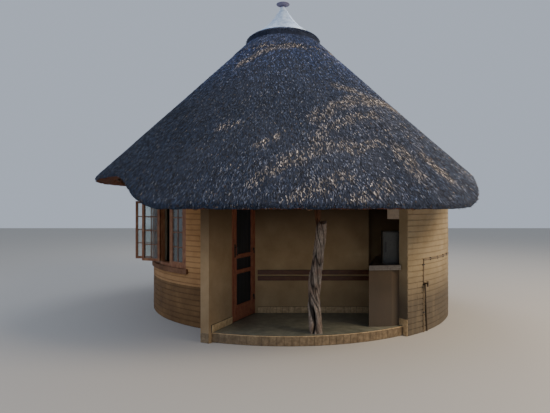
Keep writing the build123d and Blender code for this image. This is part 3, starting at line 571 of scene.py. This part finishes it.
def layTiles():
    radius, floor, joint = tiles["riserRadius"], house["floor"], tiles["joint"]
    left, right = (math.radians(tiles[k]) * radius for k in ("riserLeft", "riserRight"))
    count = round((right - left) / tiles["width"])
    pads("riserTiles", rowCells(left, right, count, 0.001, floor - 0.001, joint), onArc(radius), shadedClayTile,
         proud=0.004)
    # a bead of pale grout along the floor's edge
    low, high = (floor + rise for rise in tiles["beadHeights"])
    pads("riserNosing", rowCells(left, right, tiles["beadCount"], low, high, 0.001), onArc(radius), skirtTile,
         proud=0.008)
    back = np.array(tiles["backCorner"]) - (0, tiles["skirtThick"])
    side = wing["end"] + wing["along"] * tiles["wingStart"] + wing["out"] * tiles["skirtThick"]
    for name, run, corner, along in (("backSkirtingTiles", tiles["backRun"], back, (1, 0)),
                                     ("wingSkirtingTiles", tiles["wingRun"], side, wing["along"])):
        pads(name, rowCells(*run, floor, tiles["skirtTop"], joint), onFace(corner, along), skirtTile)
    foot = onFace(wing["end"] - wing["out"] * wing["thick"], wing["out"])
    pads("wingFootTiles", rowCells(0, wing["thick"], 1, 0.001, floor, joint), foot, shadedClayTile,
         proud=0.006)
    pier = onFace((0, 0), polar(1, house["kitchenStart"] - 0.05))
    inner, outer = house["kitchenRadius"] - tiles["pierThick"], house["kitchenRadius"] + 0.004
    cells = [(inner, outer, floor, tiles["skirtTop"] - 0.002), (radius + 0.006, outer, 0.001, floor)]
    pads("pierFootTiles", cells, pier, skirtTile, proud=0.008, back=0)
    start, end = np.array(tiles["bandStart"]), np.array(tiles["bandEnd"])
    width = float(np.linalg.norm(end - start))
    step = (end - start) / width
    rise = tiles["bandHeight"] / tiles["bandRows"]
    cells = []
    for row in range(tiles["bandRows"]):
        low = tiles["bandTop"] - tiles["bandHeight"] + row * rise
        cells += rowCells(0, width, round(width / tiles["mosaic"]), low, low + rise, tiles["mosaicJoint"])
    pads("counterMosaic", cells, onFace(start + np.array([step[1], -step[0]]) * tiles["bandOut"], step),
         shadedMosaicGlaze, proud=0.002, bevel=0.0015)
    left, right = (math.radians(house[k]) * tiles["sillRadius"] for k in ("far", "near"))
    cells = rowCells(left + tiles["sillEnds"], right - tiles["sillEnds"], tiles["sillCount"],
                     *tiles["sillHeights"], 0.009)
    pads("sillBricks", cells, onArc(tiles["sillRadius"]), sillPaint, proud=0.005, bevel=0.004)


layTiles()
print("tiles laid")


# Thatch: a combed surface over the cone, tufts and stalks on it, and the cut ends along the eave

roof = {"apex": 5.860, "pitch": 44.16, "thick": 0.200, "eave": 3.550, "frontEave": 4.040, "left": -22.0,
        "right": 33.0, "runLeft": -46.0, "runRight": 64.0, "lip": 0.065, "hole": 0.60, "columns": 720,
        "rows": 92, "stalks": 46000, "fringe": 12000, "skirt": 1.06, "skirtProud": 0.010,
        "stalksFrom": 0.72, "innerHole": 0.45, "droop": 0.02, "ragged": 0.012, "soffit": 0.014,
        "relief": [(34, 1.4, 3, 0.008), (150, 3.2, 4, 0.006), (240, 6.0, 5, 0.006)]}
slope = math.tan(math.radians(roof["pitch"]))
normalOut, normalUp = math.sin(math.radians(roof["pitch"])), math.cos(math.radians(roof["pitch"]))
innerApex = roof["apex"] - roof["thick"] / normalUp


def onSlope(radius):
    return roof["apex"] - radius * slope


def signedBearing(bearing):
    return np.where(bearing > 180, bearing - 360, bearing)


def eaveAt(bearing):
    signed = signedBearing(bearing)
    leftShare = (signed - roof["runLeft"]) / (roof["left"] - roof["runLeft"])
    rightShare = (roof["runRight"] - signed) / (roof["runRight"] - roof["right"])
    share = np.clip(np.minimum(leftShare, rightShare), 0.0, 1.0)
    return roof["eave"] + (roof["frontEave"] - roof["eave"]) * share * share * (3 - 2 * share)


def combing(bearing, down):
    # how far the grass stands out, in metres: faint swells, clumps, then streaks down the slope
    turn = bearing / 360.0
    radius = roof["hole"] + down * normalUp
    edge = roof["skirt"] + valueNoise(turn * 90, down * 0, 6, 90) * 0.05
    skirt = np.clip((edge - radius) / 0.03, 0, 1) * roof["skirtProud"]
    rough = sum(valueNoise(turn * waves, down * along, seed, waves) * depth
                for waves, along, seed, depth in roof["relief"])
    return rough * np.where(radius < edge, 0.5, 1.0) + skirt


def thatchSurface():
    # rings of points from the ridge down the outside, over the lip, under the eave and up the inside
    bearings = np.arange(roof["columns"]) * 360.0 / roof["columns"]
    edges = eaveAt(bearings)
    rings = []
    for row in range(roof["rows"] + 1):
        radius = roof["hole"] + (edges - roof["hole"]) * row / roof["rows"]
        out = combing(bearings, (radius - roof["hole"]) / normalUp)
        rings.append((radius + out * normalOut, onSlope(radius) + out * normalUp))

    def uneven(row, seed):
        return valueNoise(bearings * 0.7, bearings * 0 + row, seed, 252)

    low = onSlope(edges) - roof["lip"]
    for share in (0.35, 0.75, 1.0):
        height = low + uneven(0, 8) * roof["droop"] * share + (1 - share) * roof["lip"]
        rings.append((edges + uneven(share * 9, 9) * roof["ragged"], height))
    lipRings = len(rings)
    inner = (innerApex - low) / slope
    for share in (0.25, 0.5, 0.75, 1.0):
        rings.append((edges + (inner - edges) * share, low + uneven(share * 5, 10) * roof["soffit"]))
    soffitRings = len(rings)
    for share in (0.12, 0.3, 0.5, 0.75, 1.0):
        radius = inner + (roof["innerHole"] - inner) * share
        rings.append((radius, innerApex - radius * slope))
    points = np.concatenate([ringPoints(radius, bearings, height) for radius, height in rings])
    faces = gridFaces(len(rings), roof["columns"], closed=True)
    piece = meshPiece("thatchSurface", points, faces, grass, smooth=True)
    piece.data.materials.append(butts)
    piece.data.materials.append(underGrass)
    indices = np.zeros(len(faces), dtype=int)
    indices[(lipRings - 1) * roof["columns"]:] = 1
    indices[(soffitRings - 1) * roof["columns"]:] = 2
    piece.data.polygons.foreach_set("material_index", indices)
    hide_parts("thatch")


def roofAxes(bearing):
    # outwards, round the roof, down its slope and off its slope
    angle = np.radians(bearing)
    out = np.stack([np.sin(angle), -np.cos(angle), 0 * angle], axis=1)
    across = np.stack([np.cos(angle), np.sin(angle), 0 * angle], axis=1)
    up = np.array([0, 0, 1])
    return out, across, out * normalUp - up * normalOut, out * normalOut + up * normalUp


# each tone of the grass and how much of it there is; the blue in these tones is painted skylight on grey
# grass
tones = {
    "slope": {"#121620": 0.24, "#262e40": 0.29, "#3e4960": 0.27, "#5b6780": 0.15, "#848790": 0.04,
              "#a89c8e": 0.006, "#57453a": 0.006},
    "eave": {"#151a25": 0.3, "#283042": 0.28, "#3f4a60": 0.17, "#5d677a": 0.11, "#7a6a55": 0.07,
             "#967f60": 0.03, "#5d4229": 0.04},
    "collar": {"#181e30": 0.36, "#2f3a56": 0.34, "#4b597d": 0.21, "#6b789c": 0.08, "#7d7468": 0.01},
    "collarFoot": {"#4a5163": 0.3, "#77747a": 0.25, "#a89a8a": 0.3, "#cfc0aa": 0.15},
}

# straw and sky are factors on red, green and blue; the sunny side, painted brighter as sunlight, comes
# and goes at a bearing, over so many degrees; the others say how strong and where each acts, bleached being
# the brightness of the painted sun patches
weather = {"sunComes": (-30, 50), "sunGoes": (120, 60), "shade": 0.54, "sun": 0.66, "bleached": 1.8,
           "straw": (1.34, 1.13, 0.93), "strawShare": 0.85, "patchShare": 0.35, "sky": (-0.08, 0.03, 0.45),
           "skyRadius": 2.4, "skyFade": 1.3, "skyLight": (0.8, 0.55), "skirtShade": 0.75}


def layStalks(name, rng, centres, axes, toneSet, spread, ranges, brightness=1.0, sunPatch=0.0, sky=0.0):
    # draws each stalk's skew, tone, length, width and lift, then builds it as a low ridge of two long faces,
    # narrower at its lower end; axes run down, across and off the surface
    down, across, outward = axes
    count = len(centres)
    skew = rng.normal(0, spread, count)[:, None]
    table = np.array([hexColour(text) for text in tones[toneSet]])
    shares = np.array(list(tones[toneSet].values()))
    colours = table[rng.choice(len(table), count, p=shares / shares.sum())]
    colours[:, :3] *= (rng.uniform(0.7, 1.2, count) * brightness)[:, None]
    # where a painted sun patch lies the stalk is brightened and turned to straw colour, and blue is painted
    # where the sky is mirrored
    warm = weather["strawShare"] * sunPatch
    straw = colours[:, :3].mean(axis=1, keepdims=True) * weather["straw"]
    colours[:, :3] = colours[:, :3] * (1 - warm) + straw * warm
    colours[:, :3] *= 1 + sky * (1 - warm) * np.array(weather["sky"])
    length, width, lift = (rng.uniform(*span, count)[:, None] for span in ranges)
    along = down * np.cos(skew) + across * np.sin(skew)
    side = (across * np.cos(skew) - down * np.sin(skew)) * width / 2
    crest = outward * width * 0.32
    start, end = centres - along * length / 2, centres + along * length / 2 + outward * lift
    rows = [start - side, start + crest, start + side, end - side * 0.5, end + crest * 0.6, end + side * 0.5]
    base = np.arange(count)[:, None] * len(rows)
    piece = meshPiece(name, np.stack(rows, axis=1).reshape(-1, 3),
                      np.concatenate([base + [0, 1, 4, 3], base + [1, 2, 5, 4]]), stalks)
    tint(piece, "ownTone", np.repeat(colours, len(rows), axis=0))


# strips in plan painted as patches of low sunlight: start x, y, end x, y and half width
sunPatchStrips = [
    (-0.43, -3.78, -0.31, -3.68, 0.07), (-0.20, -3.60, 0.27, -3.36, 0.10), (0.27, -3.36, 0.85, -3.08, 0.10),
    (-0.40, -3.24, -0.14, -3.10, 0.05), (0.41, -2.75, 1.86, -1.40, 0.09), (0.38, -3.10, 1.38, -2.24, 0.08),
    (0.01, -4.04, 0.21, -3.87, 0.08), (0.31, -3.85, 0.77, -3.61, 0.10), (0.71, -3.98, 1.24, -3.62, 0.11),
    (1.62, -2.89, 1.69, -3.16, 0.15), (2.02, -2.71, 2.27, -2.89, 0.11), (0.84, -3.22, 1.35, -2.87, 0.06),
    (0.79, -1.90, 1.36, -1.73, 0.06), (-0.96, -2.75, -0.73, -2.76, 0.04), (-0.76, -1.28, -0.40, -1.19, 0.07),
    (-0.40, -1.18, 0.34, -1.03, 0.06)]


def inSunPatches(x, y, wobble):
    share = np.zeros_like(x)
    for startX, startY, endX, endY, half in sunPatchStrips:
        dx, dy = endX - startX, endY - startY
        along = np.clip(((x - startX) * dx + (y - startY) * dy) / (dx * dx + dy * dy), 0, 1)
        off = np.hypot(x - startX - along * dx, y - startY - along * dy) + wobble
        share = np.maximum(share, np.clip(1.7 - off / half, 0, 1))
    return share


def looseStalks(name, seed, *ranges):
    rng = np.random.default_rng(seed)
    bearing = rng.uniform(0, 360, roof["stalks"])
    radius = np.sqrt(rng.uniform(roof["stalksFrom"] ** 2, eaveAt(bearing) ** 2))
    out, across, down, normal = roofAxes(bearing)
    centres = out * radius[:, None]
    centres[:, 2] = onSlope(radius)
    centres += normal * (combing(bearing, (radius - roof["hole"]) / normalUp) + 0.002)[:, None]
    # painted sunlight: the sunny side is painted brighter, with broad painted sun patches that fade out at
    # the rear
    signed = signedBearing(bearing)
    turn = signed / 360 + 0.5
    bands = valueNoise(turn * 8 + radius * 0.5, radius * 3.0 + turn * 16, 242)
    flecks = valueNoise(turn * 110, radius * 9 + turn * 60, 32)
    (comes, rise), (goes, fall) = weather["sunComes"], weather["sunGoes"]
    sunny = np.clip((signed - comes) / rise, 0, 1) * np.clip((goes - signed) / fall, 0, 1)
    sunPatch = np.clip((bands + 0.35 * flecks - 0.13) * 6, 0, 1) * sunny * weather["patchShare"]
    sunPatch = np.maximum(sunPatch, inSunPatches(centres[:, 0], centres[:, 1], flecks * 0.08))
    # near the ridge the grass mirrors more sky: paler and bluer, most of all on the side away from the sun
    sky = np.clip((weather["skyRadius"] - radius) / weather["skyFade"], 0, 1)
    light, lessInSun = weather["skyLight"]
    brightness = weather["shade"] + weather["sun"] * sunny + weather["bleached"] * sunPatch
    brightness += sky * (light - lessInSun * sunny)
    brightness *= np.where(radius < roof["skirt"], weather["skirtShade"], 1)
    layStalks(name, rng, centres, (down, across, normal), "slope", 0.24, ranges, brightness, sunPatch[:, None],
              sky[:, None])


def eaveFringe():
    rng = np.random.default_rng(22)
    count = roof["fringe"]
    bearing = rng.uniform(0, 360, count)
    edge = eaveAt(bearing)
    out, across, down, normal = roofAxes(bearing)
    centres = out * (edge - rng.uniform(0, 1, count) ** 1.5 * 0.10)[:, None]
    centres[:, 2] = onSlope(edge) - rng.uniform(0.0, 0.9, count) * roof["lip"]
    layStalks("eaveFringe", rng, centres, (down, across, normal), "eave", 0.2,
              ((0.03, 0.07), (0.006, 0.012), (0.0, 0.005)))


def ringStalks(name, seed, count, radii, heightAt, lean, toneSet, *sizes, broken=0.0):
    # short stalks laid over a ring: lean is how steeply they run down and outwards; a broken ring has gaps
    rng = np.random.default_rng(seed)
    bearing = rng.uniform(0, 360, count)
    flat = bearing * 0
    thick = valueNoise(bearing / 9, flat, seed, 40) + valueNoise(bearing / 3, flat, seed + 1, 120)
    bearing = bearing[thick + rng.uniform(0.0, 0.5, count) > broken * 1.4 - 0.5]
    radius = rng.uniform(*radii, len(bearing))
    radius += valueNoise(bearing / 6, bearing * 0, seed + 2, 60) * broken * 0.12
    out, across, _, _ = roofAxes(bearing)
    centres = out * radius[:, None]
    centres[:, 2] = heightAt(radius)
    fall, up = math.radians(lean), np.array([0, 0, 1])
    down, off = out * math.cos(fall) - up * math.sin(fall), out * math.sin(fall) + up * math.cos(fall)
    layStalks(name, rng, centres, (down, across, off), toneSet, 0.22, (*sizes, (-0.003, 0.003)))


ridge = {"profile": [(0.560, 5.060), (0.562, 5.298), (0.640, 5.299), (0.690, 5.290), (0.722, 5.268),
                     (0.740, 5.238), (0.746, 5.200), (0.744, 5.150), (0.740, 5.110)],
         "columns": 240, "shoulder": (2, 7)}


def ridgeCollar():
    # the ridge ring is trodden round at its outer shoulder
    bearings = np.arange(ridge["columns"]) * 360 / ridge["columns"]
    rows = []
    for step, (radius, height) in enumerate(ridge["profile"]):
        wobble = valueNoise(bearings / 6, bearings * 0 + step * 0.7, 61, 60) * (0.008 if step > 2 else 0)
        rows.append(ringPoints(radius + wobble, bearings, height + wobble * 0.5))
    faces = gridFaces(len(rows), ridge["columns"], closed=True)
    piece = meshPiece("ridgeCollar", np.concatenate(rows), faces, collarGrass, smooth=True)
    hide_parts("thatch_collar")


def onShoulder(radius):
    places = np.array(ridge["profile"][slice(*ridge["shoulder"])])
    return np.interp(radius, places[:, 0], places[:, 1]) + 0.002


def onSkirt(radius):
    # the dressed slope near the ridge, 1 mm proud of it
    return onSlope(radius) + (roof["skirtProud"] + 0.001) / normalUp


thatchSurface()
looseStalks("broadTufts", 21, (0.025, 0.055), (0.011, 0.019), (-0.002, 0.005))
looseStalks("thinStalks", 24, (0.03, 0.065), (0.006, 0.010), (-0.002, 0.006))
eaveFringe()
ridgeCollar()
ringStalks("collarStalks", 23, 3600, (0.645, 0.745), onShoulder, 38, "collar", (0.03, 0.07), (0.007, 0.013))
ringStalks("collarSkirtStalks", 26, 5200, (0.74, 1.05), onSkirt, roof["pitch"], "collar", (0.05, 0.10),
           (0.010, 0.018))
ringStalks("skirtFootStraw", 25, 1100, (0.99, 1.14), onSkirt, roof["pitch"], "collarFoot", (0.03, 0.07),
           (0.006, 0.011), broken=0.6)
print("roof thatched")


# Metal cap: folded laps down the cone and a wired edge at its rim

cap = {"radius": 0.640, "bottom": 5.3008, "rim": 0.030, "height": 0.670, "neck": 0.048, "hollow": 0.045,
       "laps": 4, "firstLap": 38, "lapWidth": 0.018, "lapProud": 0.004, "lapRows": 25, "wire": 0.006,
       "wireSteps": 120, "wireSides": 8}


def capFlank(share):
    # the flank bows inwards between its two ends
    start = np.array([cap["radius"], cap["bottom"] + cap["rim"]])
    end = np.array([cap["neck"], cap["bottom"] + cap["height"]])
    return start + (end - start) * share - cap["hollow"] * 4 * share * (1 - share)


def capLaps():
    points, faces = [], []
    rows, out = cap["lapRows"], cap["lapProud"]
    for lap in range(cap["laps"]):
        bearing = cap["firstLap"] + lap * 360 / cap["laps"]
        base = len(points)
        for row in range(rows):
            radius, height = capFlank(0.005 + 0.985 * row / (rows - 1))
            half = math.degrees(cap["lapWidth"] / 2 / radius)
            for offset, lift in ((-half, -0.001), (-half * 0.5, out), (half * 0.7, out), (half, -0.001)):
                x, y = polar(radius + lift * 0.7, bearing + offset)
                points.append((x, y, height + lift * 0.7))
        faces.append(gridFaces(rows, 4) + base)
    meshPiece("capLaps", points, np.concatenate(faces), skyTintedZinc)
    steps, sides = cap["wireSteps"], cap["wireSides"]
    turn, around = np.meshgrid(np.arange(steps) * 360 / steps, np.arange(sides) * 2 * math.pi / sides,
                               indexing="ij")
    x, y = polar(cap["radius"] + 0.001 + cap["wire"] * np.cos(around), turn)
    points = np.stack([x, y, cap["bottom"] + cap["wire"] * (1 + np.sin(around))], axis=-1).reshape(-1, 3)
    ring = gridFaces(steps + 1, sides, closed=True) % len(points)
    meshPiece("capWiredEdge", points, ring, skyTintedZinc, smooth=True)


capLaps()
print("cap dressed")


# Post: a dead trunk with twisting ridges, a split foot, a broken stub and a branch that carries the beam

post = {"y": -2.8935, "sides": 96, "rows": 300, "twist": 0.55, "stations": [
            (0.137, 0.403, 0.186), (0.330, 0.398, 0.172), (0.508, 0.396, 0.190), (0.690, 0.378, 0.166),
            (0.890, 0.396, 0.168), (1.082, 0.419, 0.162), (1.341, 0.462, 0.140), (1.595, 0.477, 0.148),
            (1.676, 0.484, 0.140)],
        "splitAt": 0.20, "splitWidth": 0.028, "splitTop": 0.62, "splitDeep": 0.055, "furrow": 0.05,
        "reach": (-0.022, 0.008), "branchX": 0.428, "branchFoot": 1.33, "branchWidth": 0.078}


def smoothed(values, width):
    padded = np.pad(values, width, mode="edge")
    return np.convolve(padded, np.ones(width) / width, mode="same")[width:-width]


def barkTube(name, heights, centresX, radii, furrows, twist, seed, material, jagged=0.0, split=0.0):
    sides, count = post["sides"], len(heights)
    z, t = np.meshgrid(heights, np.arange(sides) / sides, indexing="ij")
    around = (t + twist * z) * furrows
    deep = valueNoise(around, z * 2.2, seed, furrows)
    deep += 0.5 * valueNoise(around * 2, z * 4.5, seed + 1, furrows * 2)
    crest = np.abs(deep) ** 0.8
    # hollow marks the painted shade: deep in the furrows here, and in the split between the legs below
    hollow = np.clip(1 - crest * 4.2, 0, 1)
    offset = post["furrow"] * (crest - 0.3) + 0.012 * valueNoise(around * 5, z * 9, seed + 2, furrows * 5)
    # the front of the foot has opened into two legs
    facing = np.abs((t - post["splitAt"] + 0.03 * np.sin(z * 14)) % 1 - 0.5)
    gap = np.exp(-(facing / post["splitWidth"]) ** 2) * np.clip((post["splitTop"] - z) / 0.2, 0, 1) * split
    hollow = np.maximum(hollow, np.clip(gap * 1.4, 0, 1))
    radius = radii[:, None] + np.clip(offset, *post["reach"]) - gap * post["splitDeep"]
    x = centresX[:, None] + radius * np.cos(t * 2 * math.pi)
    y = post["y"] + radius * np.sin(t * 2 * math.pi)
    broken = jagged * valueNoise(t * 11, t * 0, seed + 5, 11) * np.clip((z - heights[-1] + 0.15) / 0.15, 0, 1)
    points = np.stack([x, y, z + broken], axis=-1).reshape(-1, 3)
    points = np.concatenate([points, [[centresX[-1], post["y"], heights[-1] + 0.004]]])
    last = (count - 1) * sides
    fan = [(last + i, last + (i + 1) % sides, len(points) - 1) for i in range(sides)]
    piece = meshPiece(name, points, gridFaces(count, sides, closed=True).tolist() + fan, material,
                      smooth=True)
    shade = np.append(hollow.reshape(-1), 0.0)
    tint(piece, "hollow", np.stack([shade, shade, shade, np.ones_like(shade)], axis=1))
    return piece


def growPost():
    places, middles, widths = np.array(post["stations"]).T
    heights = np.linspace(places[0], places[-1], post["rows"])
    centres, radii = (smoothed(np.interp(heights, places, v), 21) for v in (middles, widths / 2))
    stem = barkTube("gnarledPost", heights, centres, radii, 7, post["twist"], 41, trunk, jagged=0.06,
                    split=1.0)
    carried = nodes["verandah_post"]
    top = max((carried.matrix_world @ v.co).z for v in carried.data.vertices)
    heights = np.linspace(post["branchFoot"], top, 120)
    centres = post["branchX"] + 0.008 * np.sin(heights * 5)
    radii = post["branchWidth"] / 2 - 0.004 * np.sin(heights * 9) - 0.003
    barkTube("risingBranch", heights, centres, radii, 5, 0.25, 51, branchBark)
    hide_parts("verandah_post")


growPost()
print("post grown")


# Joinery details: glazing bars, beads and the lock

bars = {"width": 0.017, "depth": 0.024, "rows": 4, "columns": 2}


def paneAxes(name):
    # centre, direction along and outward of a pane, and its half sizes, taken from the carried mesh
    corners = np.array([nodes[name].matrix_world @ v.co for v in nodes[name].data.vertices])
    middle = (corners.max(axis=0) + corners.min(axis=0)) / 2
    vectors = np.linalg.eigh(np.cov((corners - middle)[:, :2].T))[1]
    along = np.array([*vectors[:, 1], 0.0])
    reach = (corners - middle) @ along
    return (middle, along, np.array([along[1], -along[0], 0.0]), np.ptp(reach) / 2, np.ptp(corners[:, 2]) / 2)


def glazingBars():
    points, faces = [], []
    half, deep = bars["width"] / 2, bars["depth"] / 2
    upward = np.array([0, 0, 1.0])
    for name in ("window_near_glass", "window_middle_glass", "window_far_glass"):
        middle, along, outward, halfWidth, halfHeight = paneAxes(name)
        runs = []
        for column in range(1, bars["columns"]):
            at = along * (2 * column / bars["columns"] - 1) * halfWidth
            runs.append((at - upward * halfHeight, at + upward * halfHeight, along))
        for row in range(1, bars["rows"]):
            at = upward * (2 * row / bars["rows"] - 1) * halfHeight
            runs.append((at - along * halfWidth, at + along * halfWidth, upward))
        for first, last, side in runs:
            base = len(points)
            for end in (first, last):
                for across, out in ((-1, 0), (-0.45, 1), (0.45, 1), (1, 0), (0.45, -1), (-0.45, -1)):
                    points.append(middle + end + side * across * half + outward * out * deep)
            faces += (gridFaces(2, 6, closed=True) + base).tolist()
    meshPiece("glazingBars", points, faces, windowWood)


door = {"start": 0.663, "end": wing["length"] - 0.053, "stile": 0.078, "bead": (0.012, 0.004),
        "panes": [(0.377, 0.8625), (0.9175, 1.1025), (1.1575, 2.079)], "lock": (0.020, 0.058, 1.12, 1.32),
        "kickInset": 0.08, "kickHeights": (0.185, 0.345)}


def doorDetails():
    start, end = door["start"], door["end"]
    left, right = start + door["stile"], end - door["stile"]
    outside, inside = door["bead"]
    cells = []
    for low, high in door["panes"]:
        cells += [(left - outside, left + inside, low - 0.01, high + 0.01),
                  (right - inside, right + outside, low - 0.01, high + 0.01),
                  (left, right, low - outside, low + inside), (left, right, high - inside, high + outside)]
    pads("screenBeads", cells, onWing, joinery, body="door", proud=0.007, back=0.002)
    near, far, low, high = door["lock"]
    pads("lockPlate", [(start + near, start + far, low, high)], onWing, blackIron, body="door",
         bevel=0.0015)
    pads("kickPanel", [(start + door["kickInset"], end - door["kickInset"], *door["kickHeights"])], onWing,
         joinery, body="door", proud=0.005, bevel=0.012)


glazingBars()
doorDetails()
print("joinery dressed")


# Kitchen corner: the cupboard's door with its handle, and clips that hold the water pipe

clips = {"radius": 3.1613, "bearing": 41.3, "heights": [0.30, 0.72, 1.02], "runBearings": [45, 50, 55, 60],
         "pipeHeight": 1.095, "long": 0.022, "short": 0.008}
cupboard = {"corner": (1.480, -2.330), "turn": 82, "door": (0.012, 0.318, 1.049, 1.505),
            "handle": (0.03, 0.05, 1.20, 1.36)}


def kitchenDetails():
    front = onFace(cupboard["corner"], polar(1, cupboard["turn"]))
    pads("cupboardDoor", [cupboard["door"]], front, greyEnamel, proud=0.006, bevel=0.004)
    pads("cupboardHandle", [cupboard["handle"]], front, blackIron, proud=0.016, back=-0.004)
    places = [(clips["bearing"], height, clips["long"], clips["short"]) for height in clips["heights"]]
    places += [(at, clips["pipeHeight"], clips["short"], clips["long"]) for at in clips["runBearings"]]
    cells = []
    for bearing, height, wide, tall in places:
        at = math.radians(bearing) * clips["radius"]
        cells.append((at - wide, at + wide, height - tall, height + tall))
    pads("pipeClips", cells, onArc(clips["radius"]), blackIron, proud=0.0135, bevel=0.004, back=0.01)


kitchenDetails()
print("kitchen corner dressed")
